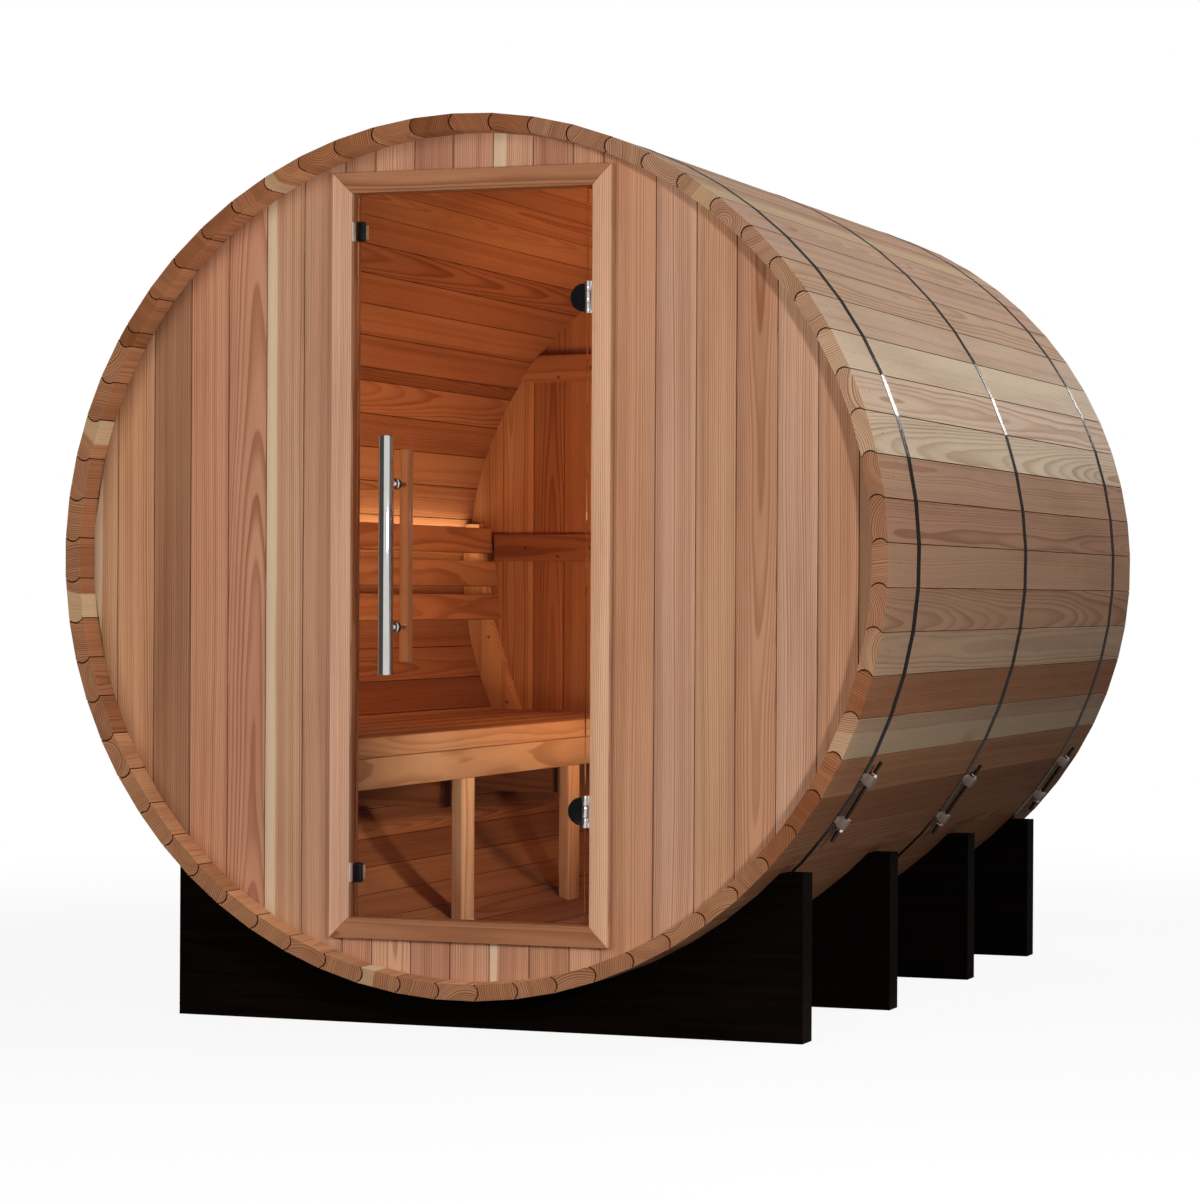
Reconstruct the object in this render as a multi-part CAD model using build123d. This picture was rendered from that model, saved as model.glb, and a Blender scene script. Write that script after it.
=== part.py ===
from build123d import *
import math
import os

# Sizes are in millimetres. The barrel lies along Y and its door faces -Y.
# The origin is on the ground, under the middle of the barrel.

# Barrel shell
barrel_length = 2304
barrel_radius = 915
stave_thickness = 34
stave_pitch_deg = 5.59
stave_count = 64
staves_per_group = 4
closing_strip_end_deg = -57.2
barrel_clearance_below = 71

# End walls, set back from the ends of the staves
end_wall_setback = 65
end_wall_thickness = 38

# Doorway, as wide as the space between the faces of its lining
door_opening_width = 538
wall_over_lining = 96
wall_under_lining = 104
lining_thickness = 20
casing_width = 43
casing_thickness = 17
casing_bevel_width = 12
casing_bevel_depth = 5

# Glass door
glass_thickness = 8
glass_setback = 22
glass_gap_free_side = 6
glass_gap_hinge_side = 17
glass_gap_ends = 6

# Door hinges
hinge_from_opening_bottom = 235
hinge_from_opening_top = 230
hinge_axis_inset = 9.5
hinge_axis_depth = 5
knuckle_radius = 6
knuckle_height = 66
knuckle_middle_height = 24
knuckle_gap = 1
pin_radius = 3
pin_clearance = 0.1
hinge_leaf_thickness = 2.5
hinge_leaf_depth = 40
hinge_web_depth = 5
clamp_height = 58
clamp_width = 34
clamp_thickness = 7
clamp_bridge_thickness = 2.5
clamp_bridge_height = 40

# Door catches
catch_from_opening_bottom = 94
catch_from_opening_top = 80
catch_block_width = 18
catch_block_height = 42
catch_block_thickness = 10
catch_block_inset = 2
catch_backplate_height = 30
catch_backplate_thickness = 6
catch_strike_height = 40
catch_strike_depth = 16
catch_strike_thickness = 2

# Door handles
handle_from_free_edge = 88
handle_stud_spacing = 300
outer_bar_radius = 16
outer_bar_length = 500
outer_bar_gap = 31
inner_bar_radius = 14
inner_bar_length = 450
inner_bar_gap = 41
handle_stud_radius = 6
handle_collar_radius = 12
handle_collar_thickness = 5

# Steel bands round the staves, placed from the front of the barrel
band_positions = [231, 1155.5, 2094]
band_width = 25
band_thickness = 1.2

# Band tensioners: two footed blocks, a threaded rod and its nuts
tensioner_above_cradles = [144, 101, 106]
tensioner_block_above_band = 15
tensioner_block_radial = 18
tensioner_block_length = 23
tensioner_block_spacing = 104
tensioner_foot_radial = 10
tensioner_foot_length = 15
tensioner_rod_radius = 4
tensioner_rod_length = 196
tensioner_nut_width = 14
tensioner_nut_thickness = 7

# Cradles under the barrel, placed from the front of the barrel
cradle_positions = [133, 787, 1472, 2078]
cradle_thickness = 64
cradle_end_height = 345
cradle_end_flat = 50

# Bench along the left side
bench_above_floor = 494
bench_depth = 491
bench_plank_thickness = 44
bench_plank_width = 92
bench_plank_gap = 6
bench_plank_count = 5
bench_apron_height = 68
bench_apron_thickness = 38
bench_leg_positions = [790, 1480]
bench_leg_width = 78
bench_leg_thickness = 24
bench_joist_width = 38
bench_joist_height = 136
bench_joist_setback = 12

# Backrest over the bench
slat_height = 67
slat_thickness = 20
slats_above_bench = [276, 365, 454]
slat_face_from_staves = 94
backrest_lean_deg = 7
support_thickness = 38
support_foot_width = 70
support_knee_drop = 38
support_head_rise = 46
light_strip_width = 14
light_strip_thickness = 8

# Battens across the inside of the back wall
battens_above_floor = [930, 1412]
batten_height = 72
batten_thickness = 20
batten_gap_to_support = 4

# Worked out from the sizes above
barrel_centre_height = barrel_clearance_below + barrel_radius
barrel_front = -barrel_length / 2
half_pitch = math.radians(stave_pitch_deg / 2)
inner_radius = barrel_radius - stave_thickness / math.cos(half_pitch)
inner_face_distance = inner_radius * math.cos(half_pitch)
floor_height = barrel_centre_height - inner_face_distance
ceiling_height = barrel_centre_height + inner_face_distance
front_wall_front = barrel_front + end_wall_setback
front_wall_back = front_wall_front + end_wall_thickness
back_wall_back = barrel_front + barrel_length - end_wall_setback
back_wall_front = back_wall_back - end_wall_thickness
opening_half = door_opening_width / 2
opening_bottom = floor_height + wall_under_lining + lining_thickness
opening_top = ceiling_height - wall_over_lining - lining_thickness
hinge_heights = [opening_bottom + hinge_from_opening_bottom, opening_top - hinge_from_opening_top]
catch_heights = [opening_bottom + catch_from_opening_bottom, opening_top - catch_from_opening_top]
casing_front = front_wall_front - casing_thickness
glass_front = casing_front + glass_setback
glass_back = glass_front + glass_thickness
glass_free_edge = glass_gap_free_side - opening_half
glass_hinge_edge = opening_half - glass_gap_hinge_side
hinge_axis_x = opening_half - hinge_axis_inset
hinge_axis_y = casing_front + hinge_axis_depth
handle_x = glass_free_edge + handle_from_free_edge
handle_centre_height = (opening_bottom + opening_top) / 2
bench_top = floor_height + bench_above_floor
bench_underside = bench_top - bench_plank_thickness
bench_apron_bottom = bench_underside - bench_apron_height
slat_heights = [bench_top + rise for rise in slats_above_bench]


def save(name, solids):
    """Write one piece, or several like pieces that stay apart, as one file."""
    shape = solids[0] if len(solids) == 1 else Compound(children=solids)
    export_step(shape, f"parts/{name}.step")


def box(x_range, y_range, z_range):
    """Rectangular block between pairs of coordinates."""
    low = (x_range[0], y_range[0], z_range[0])
    size = [r[1] - r[0] for r in (x_range, y_range, z_range)]
    block = Box(*size, align=(Align.MIN, Align.MIN, Align.MIN))
    return Pos(*low) * block


def prism(outline, y_front, depth):
    """Solid with its outline in (x, z), running back along Y from y_front."""
    points = [(x, y_front, z) for x, z in outline]
    face = make_face(Polyline(*points, close=True))
    return extrude(face, amount=depth, dir=(0, 1, 0))


def cylinder(start, direction, radius, length):
    """Round bar from a start point along a direction."""
    return Solid.make_cylinder(radius, length, Plane(origin=start, z_dir=direction))


def joined(pieces):
    """One solid from pieces that meet."""
    whole = pieces[0]
    for piece in pieces[1:]:
        whole = whole + piece
    return whole


def ring_point(radius, angle_deg):
    """Point on a circle about the barrel's axis, clockwise from the top seen from the front."""
    angle = math.radians(angle_deg)
    return (radius * math.sin(angle), barrel_centre_height + radius * math.cos(angle))


def joint_angles():
    """Angles of the joints between staves, ending one turn on at the closing strip."""
    first = closing_strip_end_deg
    return [first + i * stave_pitch_deg for i in range(stave_count + 1)] + [first + 360]


def ring_outline(radius):
    """Closed outline with a corner at each joint between staves."""
    return [ring_point(radius, angle) for angle in joint_angles()[:-1]]


def half_width_at(height, radius):
    """Half the width of a circle about the barrel's axis, at a height above the ground."""
    return math.sqrt(radius ** 2 - (height - barrel_centre_height) ** 2)


def shell_segment(angles):
    """Staves between the given joints, as one length of the barrel's wall."""
    outside = [ring_point(barrel_radius, a) for a in angles]
    inside = [ring_point(inner_radius, a) for a in reversed(angles)]
    return prism(outside + inside, barrel_front, barrel_length)


def make_shell():
    angles = joint_angles()
    group_count = stave_count // staves_per_group
    for i in range(group_count):
        first = i * staves_per_group
        group = angles[first:first + staves_per_group + 1]
        save(f"stave_group_{i + 1:02d}", [shell_segment(group)])
    save("closing_stave", [shell_segment(angles[group_count * staves_per_group:])])


def make_end_walls():
    """The front wall is four pieces round the doorway, and the back wall is whole."""
    disc = prism(ring_outline(inner_radius), front_wall_front, end_wall_thickness)
    half = opening_half + lining_thickness
    bottom = opening_bottom - lining_thickness
    top = opening_top + lining_thickness
    wall_y = (front_wall_front, front_wall_back)
    full_x = (-barrel_radius, barrel_radius)
    full_z = (0, barrel_centre_height + barrel_radius)
    save("front_wall_left", [disc & box((full_x[0], -half), wall_y, full_z)])
    save("front_wall_right", [disc & box((half, full_x[1]), wall_y, full_z)])
    save("front_wall_over_door", [disc & box((-half, half), wall_y, (top, full_z[1]))])
    save("front_wall_under_door", [disc & box((-half, half), wall_y, (full_z[0], bottom))])
    save("back_wall", [prism(ring_outline(inner_radius), back_wall_front, end_wall_thickness)])


def make_door_lining():
    wall_y = (front_wall_front, front_wall_back)
    outer = opening_half + lining_thickness
    low = opening_bottom - lining_thickness
    high = opening_top + lining_thickness
    jambs = [box((-outer, -opening_half), wall_y, (low, high)),
             box((opening_half, outer), wall_y, (low, high))]
    across = (-opening_half, opening_half)
    ends = [box(across, wall_y, (low, opening_bottom)),
            box(across, wall_y, (opening_top, high))]
    save("door_jambs", jambs)
    save("door_head_and_sill", ends)


def casing_piece(inner_start, inner_end, outer_end, outer_start):
    """Mitred casing board with a bevel along the edge beside the opening."""
    board = prism([inner_start, inner_end, outer_end, outer_start], casing_front, casing_thickness)
    middle = Vector((inner_start[0] + inner_end[0]) / 2, casing_front,
                    (inner_start[1] + inner_end[1]) / 2)
    edge = board.edges().sort_by(lambda e: (e.center() - middle).length)[0]
    face = board.faces().sort_by(Axis.Y)[0]
    return chamfer(edge, casing_bevel_width, casing_bevel_depth, reference=face)


def make_casing():
    inner_x = opening_half
    outer_x = opening_half + casing_width
    low = opening_bottom
    high = opening_top
    outer_low = low - casing_width
    outer_high = high + casing_width
    sides = [casing_piece((s * inner_x, low), (s * inner_x, high),
                          (s * outer_x, outer_high), (s * outer_x, outer_low)) for s in (-1, 1)]
    ends = [casing_piece((-inner_x, z), (inner_x, z), (outer_x, outer_z), (-outer_x, outer_z))
            for z, outer_z in ((low, outer_low), (high, outer_high))]
    save("casing_sides", sides)
    save("casing_top_and_bottom", ends)


def make_door_glass():
    z_range = (opening_bottom + glass_gap_ends, opening_top - glass_gap_ends)
    save("door_glass", [box((glass_free_edge, glass_hinge_edge), (glass_front, glass_back), z_range)])


def hinge_fixed_half(height):
    """Leaf on the lining with the outer knuckles and the pin."""
    low = height - knuckle_height / 2
    end_height = (knuckle_height - knuckle_middle_height) / 2 - knuckle_gap
    pieces = [cylinder((hinge_axis_x, hinge_axis_y, low), (0, 0, 1), pin_radius, knuckle_height)]
    leaf_face = opening_half - hinge_leaf_thickness
    leaf = box((leaf_face, opening_half), (hinge_axis_y, hinge_axis_y + hinge_leaf_depth),
               (low, low + knuckle_height))
    pieces.append(leaf)
    for z in (low, low + knuckle_height - end_height):
        knuckle = cylinder((hinge_axis_x, hinge_axis_y, z), (0, 0, 1), knuckle_radius, end_height)
        web = box((hinge_axis_x, opening_half), (hinge_axis_y, hinge_axis_y + hinge_web_depth),
                  (z, z + end_height))
        pieces += [knuckle, web]
    return joined(pieces)


def clamp_plate(height, y_front):
    """Plate with a half-round end, lying on the face of the glass."""
    radius = clamp_height / 2
    centre_x = glass_hinge_edge - clamp_width + radius
    disc = cylinder((centre_x, y_front, height), (0, 1, 0), radius, clamp_thickness)
    side = box((centre_x, glass_hinge_edge), (y_front, y_front + clamp_thickness),
               (height - radius, height + radius))
    left = box((centre_x - radius, centre_x), (y_front, y_front + clamp_thickness),
               (height - radius, height + radius))
    return (disc & left) + side


def hinge_moving_half(height):
    """Clamp on the edge of the glass with the middle knuckle."""
    front_y = glass_front - clamp_thickness
    bridge = box((glass_hinge_edge, glass_hinge_edge + clamp_bridge_thickness),
                 (front_y, glass_back + clamp_thickness),
                 (height - clamp_bridge_height / 2, height + clamp_bridge_height / 2))
    low = height - knuckle_middle_height / 2
    knuckle = cylinder((hinge_axis_x, hinge_axis_y, low), (0, 0, 1), knuckle_radius,
                       knuckle_middle_height)
    arm = box((glass_hinge_edge - clamp_bridge_thickness, hinge_axis_x), (hinge_axis_y, glass_front),
              (low, low + knuckle_middle_height))
    bore = cylinder((hinge_axis_x, hinge_axis_y, low), (0, 0, 1), pin_radius + pin_clearance,
                    knuckle_middle_height)
    whole = joined([clamp_plate(height, front_y), bridge, clamp_plate(height, glass_back), arm, knuckle])
    return whole - bore


def make_hinges():
    save("hinge_leaves", [hinge_fixed_half(z) for z in hinge_heights])
    save("hinge_clamps", [hinge_moving_half(z) for z in hinge_heights])


def make_catches():
    block_x = (glass_free_edge + catch_block_inset,
               glass_free_edge + catch_block_inset + catch_block_width)
    blocks = []
    backs = []
    strikes = []
    for z in catch_heights:
        half = catch_block_height / 2
        blocks.append(box(block_x, (glass_front - catch_block_thickness, glass_front),
                          (z - half, z + half)))
        half = catch_backplate_height / 2
        backs.append(box(block_x, (glass_back, glass_back + catch_backplate_thickness),
                         (z - half, z + half)))
        half = catch_strike_height / 2
        strikes.append(box((-opening_half, catch_strike_thickness - opening_half),
                           (glass_front - catch_strike_depth, glass_front), (z - half, z + half)))
    save("catch_blocks", blocks)
    save("catch_backplates", backs)
    save("catch_strikes", strikes)


def handle_stud(height, glass_face, outward, length):
    """Stud with a collar against the glass, running out to a handle bar."""
    start = (handle_x, glass_face, height)
    stud = cylinder(start, (0, outward, 0), handle_stud_radius, length)
    collar = cylinder(start, (0, outward, 0), handle_collar_radius, handle_collar_thickness)
    return stud + collar


def bar(radius, length, y):
    low = handle_centre_height - length / 2
    return cylinder((handle_x, y, low), (0, 0, 1), radius, length)


def make_handles():
    stud_heights = [handle_centre_height + s * handle_stud_spacing / 2 for s in (-1, 1)]
    outer_y = glass_front - outer_bar_gap - outer_bar_radius
    outer_bar = bar(outer_bar_radius, outer_bar_length, outer_y)
    outer_studs = [handle_stud(z, glass_front, -1, outer_bar_gap + outer_bar_radius)
                   for z in stud_heights]
    save("outer_handle", [joined([outer_bar] + outer_studs)])
    inner_y = glass_back + inner_bar_gap + inner_bar_radius
    inner_bar = bar(inner_bar_radius, inner_bar_length, inner_y)
    reach = inner_bar_gap + inner_bar_radius
    inner_studs = [handle_stud(z, glass_back, 1, reach) - inner_bar for z in stud_heights]
    save("inner_handle_bar", [inner_bar])
    save("inner_handle_studs", inner_studs)


def make_bands():
    hoop = [ring_outline(barrel_radius + offset) for offset in (band_thickness, 0)]
    for name, position in zip(("front", "middle", "back"), band_positions):
        y = barrel_front + position - band_width / 2
        outside = prism(hoop[0], y, band_width)
        inside = prism(hoop[1], y, band_width)
        save(f"band_{name}", [outside - inside])


def tensioner_block():
    """Block round the rod, with a narrower foot that runs down into the band's place."""
    foot_centre = -(tensioner_block_radial + tensioner_foot_radial) / 2
    foot = Box(tensioner_foot_radial, band_width, tensioner_foot_length)
    return Box(tensioner_block_radial, band_width, tensioner_block_length) + Pos(foot_centre, 0, 0) * foot


def tensioner(above_cradles, y):
    """Blocks seated on the band with a rod between them, and a nut outside each block."""
    step = tensioner_block_spacing / 2
    outside = step + tensioner_block_length / 2
    block = tensioner_block()
    nut_face = RegularPolygon(tensioner_nut_width / 2, 6, major_radius=False)
    nut = extrude(nut_face, amount=tensioner_nut_thickness)
    pieces = [Cylinder(tensioner_rod_radius, tensioner_rod_length),
              Pos(0, 0, step) * block,
              Pos(0, 0, -step) * block,
              Pos(0, 0, outside) * nut,
              Pos(0, 0, -outside - tensioner_nut_thickness) * nut]
    band_outside = barrel_radius + band_thickness
    rod_distance = math.sqrt((band_outside + tensioner_block_above_band) ** 2 - step ** 2)
    drop = barrel_centre_height - cradle_end_height - above_cradles
    angle_deg = 180 - math.degrees(math.acos(drop / rod_distance))
    x, z = ring_point(rod_distance, angle_deg)
    shape = Pos(x, y, z) * Rot(0, angle_deg - 90, 0) * joined(pieces)
    return shape - prism(ring_outline(band_outside), y - band_width, 2 * band_width)


def make_tensioners():
    names = ("front", "middle", "back")
    for name, position, rise in zip(names, band_positions, tensioner_above_cradles):
        save(f"tensioner_{name}", [tensioner(rise, barrel_front + position)])


def make_cradles():
    """Boards on edge, hollowed on top to take the barrel."""
    board_z = (0, cradle_end_height)
    flat_start = half_width_at(cradle_end_height, barrel_radius)
    half_width = flat_start + cradle_end_flat
    for i, position in enumerate(cradle_positions):
        y = barrel_front + position
        board = box((-half_width, half_width), (y, y + cradle_thickness), board_z)
        board = board - prism(hollow_outline(flat_start), y, cradle_thickness)
        for relief in band_reliefs(y):
            board = board - relief
        save(f"cradle_{i + 1}", [board])


def band_reliefs(y):
    """Shallow recesses in a cradle's hollow, where a band runs under the barrel."""
    reliefs = []
    for position in band_positions:
        band_y = barrel_front + position - band_width / 2
        if band_y < y + cradle_thickness and band_y + band_width > y:
            reliefs.append(prism(ring_outline(barrel_radius + band_thickness), band_y, band_width))
    return reliefs


def hollow_outline(flat_start):
    """The barrel's outline, carried straight up to the cradle's top between its flat ends."""
    ring = ring_outline(barrel_radius)
    low = [p for p in ring if p[1] < cradle_end_height and abs(p[0]) < flat_start]
    low.sort()
    top = cradle_end_height + stave_thickness
    return [(-flat_start, top), (-flat_start, cradle_end_height)] + low + [
        (flat_start, cradle_end_height), (flat_start, top)]


def room_prism(y_front, y_back):
    """The space inside the staves between two places along the barrel."""
    return prism(ring_outline(inner_radius), y_front, y_back - y_front)


def make_bench():
    inside = room_prism(front_wall_back, back_wall_front)
    bench_front_edge = bench_depth - half_width_at(bench_top, inner_face_distance)
    length_y = (front_wall_back, back_wall_front)
    planks = []
    for i in range(bench_plank_count):
        right = bench_front_edge - i * (bench_plank_width + bench_plank_gap)
        planks.append(box((right - bench_plank_width, right), length_y,
                          (bench_underside, bench_top)) & inside)
    save("bench_planks", planks)
    apron_back = bench_front_edge - bench_apron_thickness
    save("bench_apron", [box((apron_back, bench_front_edge), length_y,
                             (bench_apron_bottom, bench_underside))])
    legs = []
    joists = []
    for position in bench_leg_positions:
        middle = barrel_front + position
        leg_y = (middle - bench_leg_width / 2, middle + bench_leg_width / 2)
        leg = box((bench_front_edge - bench_leg_thickness, bench_front_edge), leg_y,
                  (0, bench_apron_bottom))
        legs.append(leg & inside)
        joist_y = (middle - bench_joist_width / 2, middle + bench_joist_width / 2)
        joist = box((-barrel_radius, apron_back - bench_joist_setback), joist_y,
                    (bench_underside - bench_joist_height, bench_underside))
        joists.append(joist & inside)
    save("bench_legs", legs)
    save("bench_joists", joists)


def backrest_face(height, behind):
    """Place across the barrel of the leaning backrest, or of a plane some way behind its face."""
    lean = math.radians(backrest_lean_deg)
    rise = height - slat_heights[0]
    lowest = slat_face_from_staves - inner_face_distance
    return lowest - rise * math.tan(lean) - behind / math.cos(lean)


def slat(height):
    """Leaning board along the barrel between the end supports' faces."""
    length = back_wall_front - front_wall_back
    board = Box(slat_thickness, length, slat_height)
    x = backrest_face(height, slat_thickness / 2)
    return Pos(x, 0, height) * Rot(0, -backrest_lean_deg, 0) * board


def support(y_front):
    """Board against an end wall, cut to the barrel's curve and to the backrest's lean."""
    knee = slat_heights[0] - support_knee_drop
    head = slat_heights[-1] + support_head_rise
    foot_x = support_foot_width - half_width_at(bench_top, inner_face_distance)
    outline = [(-barrel_radius, bench_top), (foot_x, bench_top),
               (backrest_face(knee, slat_thickness), knee),
               (backrest_face(head, slat_thickness), head), (-barrel_radius, head)]
    board = prism(outline, y_front, support_thickness)
    return board & room_prism(y_front, y_front + support_thickness)


def make_backrest():
    save("backrest_slats", [slat(z) for z in slat_heights])
    save("backrest_supports", [support(front_wall_back), support(back_wall_front - support_thickness)])
    top = slat_heights[-1]
    length = back_wall_front - front_wall_back - 2 * support_thickness
    strip = Box(light_strip_thickness, length, light_strip_width)
    x = backrest_face(top, slat_thickness + light_strip_thickness / 2)
    save("light_strip", [Pos(x, 0, top) * Rot(0, -backrest_lean_deg, 0) * strip])


def make_battens():
    """The lower batten stops beside the backrest, and the upper one spans the wall."""
    y_range = (back_wall_front - batten_thickness, back_wall_front)
    inside = room_prism(*y_range)
    battens = []
    for rise in battens_above_floor:
        height = floor_height + rise
        z_range = (height - batten_height / 2, height + batten_height / 2)
        left = -barrel_radius
        if z_range[0] < slat_heights[-1] + support_head_rise:
            left = backrest_face(z_range[0], 0) + batten_gap_to_support
        battens.append(box((left, barrel_radius), y_range, z_range) & inside)
    save("back_wall_battens", battens)


def main():
    os.makedirs("parts", exist_ok=True)
    make_shell()
    make_end_walls()
    make_door_lining()
    make_casing()
    make_door_glass()
    make_hinges()
    make_catches()
    make_handles()
    make_bands()
    make_tensioners()
    make_cradles()
    make_bench()
    make_backrest()
    make_battens()


main()
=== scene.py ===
import bpy
import bmesh
import math
import random
from mathutils import Matrix, Vector


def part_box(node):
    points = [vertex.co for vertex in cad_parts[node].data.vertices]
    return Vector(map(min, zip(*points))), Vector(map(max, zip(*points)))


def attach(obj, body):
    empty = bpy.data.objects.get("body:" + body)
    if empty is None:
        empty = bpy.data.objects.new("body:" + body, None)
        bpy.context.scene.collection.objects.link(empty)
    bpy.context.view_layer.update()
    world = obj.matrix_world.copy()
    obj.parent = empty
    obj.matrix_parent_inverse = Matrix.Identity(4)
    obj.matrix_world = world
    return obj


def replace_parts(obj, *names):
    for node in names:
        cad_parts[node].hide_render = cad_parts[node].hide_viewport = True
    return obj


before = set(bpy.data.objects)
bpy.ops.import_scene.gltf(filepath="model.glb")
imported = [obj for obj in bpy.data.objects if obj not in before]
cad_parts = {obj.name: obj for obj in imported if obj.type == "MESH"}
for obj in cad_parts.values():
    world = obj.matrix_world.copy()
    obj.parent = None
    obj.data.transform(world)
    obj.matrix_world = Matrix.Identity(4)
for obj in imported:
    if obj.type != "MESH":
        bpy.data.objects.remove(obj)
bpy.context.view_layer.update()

# Lengths are in metres, in the frame's own axes: the barrel lies along Y and its door faces -Y.

# Barrel shell
barrel_radius = 0.915
stave_thickness = 0.034
stave_pitch_deg = 5.59
stave_count = 64
staves_per_group = 4
first_joint_deg = -57.2
notch_depth = 0.0014
notch_width = 0.0011
bead_depth = 0.0085
joint_gap = 0.0012

# Worked out from the frame
shell_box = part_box("closing_stave")
barrel_front = shell_box[0][1]
barrel_back = shell_box[1][1]
half_pitch = math.radians(stave_pitch_deg / 2)
inner_radius = barrel_radius - stave_thickness / math.cos(half_pitch)
centre_height = 0.5 * (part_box("back_wall")[0][2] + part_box("back_wall")[1][2])
wall_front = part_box("front_wall_left")[0][1]
wall_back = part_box("front_wall_left")[1][1]
rear_wall_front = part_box("back_wall")[0][1]
rear_wall_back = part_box("back_wall")[1][1]
lining_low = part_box("door_head_and_sill")[0][2]
lining_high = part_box("door_head_and_sill")[1][2]
lining_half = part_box("door_jambs")[1][0]
glass_low, glass_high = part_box("door_glass")


def linear(red, green, blue):
    """Colour from 8-bit display values."""
    return tuple(((v / 255 + 0.055) / 1.055) ** 2.4 if v > 10 else v / 255 / 12.92
                 for v in (red, green, blue))


def outwards(angle):
    """Direction from the barrel's axis, by the angle from the top, clockwise seen from the front."""
    return Vector((math.sin(angle), 0, math.cos(angle)))


def clockwise(angle):
    """Direction round the barrel at the same angle."""
    return Vector((math.cos(angle), 0, -math.sin(angle)))


def on_axis(y):
    """Point on the barrel's axis."""
    return Vector((0, y, centre_height))


# Node trees

def put(tree, kind, inputs=None, **settings):
    """New node with its settings, and its inputs linked or set."""
    node = tree.nodes.new(kind)
    for key, value in settings.items():
        setattr(node, key, value)
    for key, value in (inputs or {}).items():
        if isinstance(value, bpy.types.NodeSocket):
            tree.links.new(value, node.inputs[key])
        else:
            node.inputs[key].default_value = value
    return node


def calc(tree, operation, *values, clamp=False):
    """Result of one math node."""
    node = put(tree, "ShaderNodeMath", dict(enumerate(values)), operation=operation, use_clamp=clamp)
    return node.outputs[0]


def plus(tree, a, b):
    return calc(tree, "ADD", a, b)


def minus(tree, a, b):
    return calc(tree, "SUBTRACT", a, b)


def times(tree, a, b):
    return calc(tree, "MULTIPLY", a, b)


def swing(tree, value, size):
    """A value between nought and one, turned into a swing about nought."""
    return times(tree, minus(tree, value, 0.5), size)


def vector_length(tree, vector):
    return put(tree, "ShaderNodeVectorMath", {0: vector}, operation="LENGTH").outputs[1]


def vector_calc(tree, operation, *values):
    return put(tree, "ShaderNodeVectorMath", dict(enumerate(values)), operation=operation).outputs[0]


def noise(tree, vector, detail=2.0, roughness=0.5, scale=1.0):
    node = put(tree, "ShaderNodeTexNoise", {"Vector": vector, "Scale": scale, "Detail": detail,
                                            "Roughness": roughness})
    return node.outputs["Fac"]


def mix(tree, factor, a, b, blend="MIX"):
    node = put(tree, "ShaderNodeMix", {0: factor, 6: a, 7: b}, data_type="RGBA", blend_type=blend)
    return node.outputs[2]


def ramp(tree, value, low, high, to_low=0.0, to_high=1.0):
    """Value eased between two limits."""
    node = put(tree, "ShaderNodeMapRange", {"Value": value, "From Min": low, "From Max": high,
                                            "To Min": to_low, "To Max": to_high},
               interpolation_type="SMOOTHSTEP")
    return node.outputs[0]


def combine(tree, x, y, z):
    return put(tree, "ShaderNodeCombineXYZ", {0: x, 1: y, 2: z}).outputs[0]


def split(tree, vector):
    return put(tree, "ShaderNodeSeparateXYZ", {0: vector}).outputs


def attribute(tree, name):
    return put(tree, "ShaderNodeAttribute", attribute_name=name).outputs


def new_material(name):
    material = bpy.data.materials.new(name)
    material.use_nodes = True
    tree = material.node_tree
    tree.nodes.clear()
    shader = put(tree, "ShaderNodeBsdfPrincipled")
    output = put(tree, "ShaderNodeOutputMaterial")
    tree.links.new(shader.outputs[0], output.inputs[0])
    return material, tree, shader, output


def bump(tree, shader, height, strength, distance):
    node = put(tree, "ShaderNodeBump", {"Height": height, "Strength": strength, "Distance": distance})
    tree.links.new(node.outputs[0], shader.inputs["Normal"])


def scaled(tree, place, shift, along, across):
    """Place in the wood, moved along the grain and scaled along and across it."""
    u, v, w = place
    return combine(tree, calc(tree, "MULTIPLY_ADD", u, along, shift), times(tree, v, across),
                   times(tree, w, across))


def ring_noise(tree, radius, pitch, number, layer, detail=1.0):
    """Noise that changes from ring to ring and is even round each ring."""
    return noise(tree, combine(tree, times(tree, radius, pitch), number, layer), detail)


def pith_distance(tree, place, seed):
    """Distance from the log's pith, which drifts and leans along the board."""
    bow, crook, lean, waver = 0.03, 0.016, 0.045, 0.006
    u, v, w = place
    number, pith_v, pith_w = seed
    drift_v = noise(tree, combine(tree, times(tree, u, 0.9), number, 3.1), 1.0)
    drift_w = noise(tree, combine(tree, times(tree, u, 1.3), number, 7.7), 1.0)
    dv = plus(tree, minus(tree, v, pith_v), swing(tree, drift_v, bow))
    tilt = swing(tree, calc(tree, "FRACT", times(tree, number, 7.3)), lean)
    tilted = calc(tree, "MULTIPLY_ADD", tilt, u, minus(tree, w, pith_w))
    dw = plus(tree, tilted, swing(tree, drift_w, crook))
    distance = vector_length(tree, combine(tree, dv, dw, 0.0))
    return plus(tree, distance, swing(tree, noise(tree, scaled(tree, place, number, 2.2, 16.0)), waver))


def knots(tree, place, number):
    """How near a knot is, and whether a spot lies in a knot's core."""
    rare, reach, core_radius, core_edge = 0.86, 0.16, 0.012, 0.03
    u, v, _ = place
    knot_at = combine(tree, calc(tree, "MULTIPLY_ADD", u, 1.7, number),
                      calc(tree, "MULTIPLY_ADD", v, 5.0, number), number)
    cell = put(tree, "ShaderNodeTexVoronoi", {"Vector": knot_at, "Scale": 1.0}).outputs
    here = calc(tree, "GREATER_THAN", split(tree, cell["Color"])[0], rare)
    near = times(tree, ramp(tree, cell["Distance"], 0.0, reach, 1.0, 0.0), here)
    core = times(tree, ramp(tree, cell["Distance"], core_radius, core_edge, 1.0, 0.0), here)
    return near, core


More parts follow.
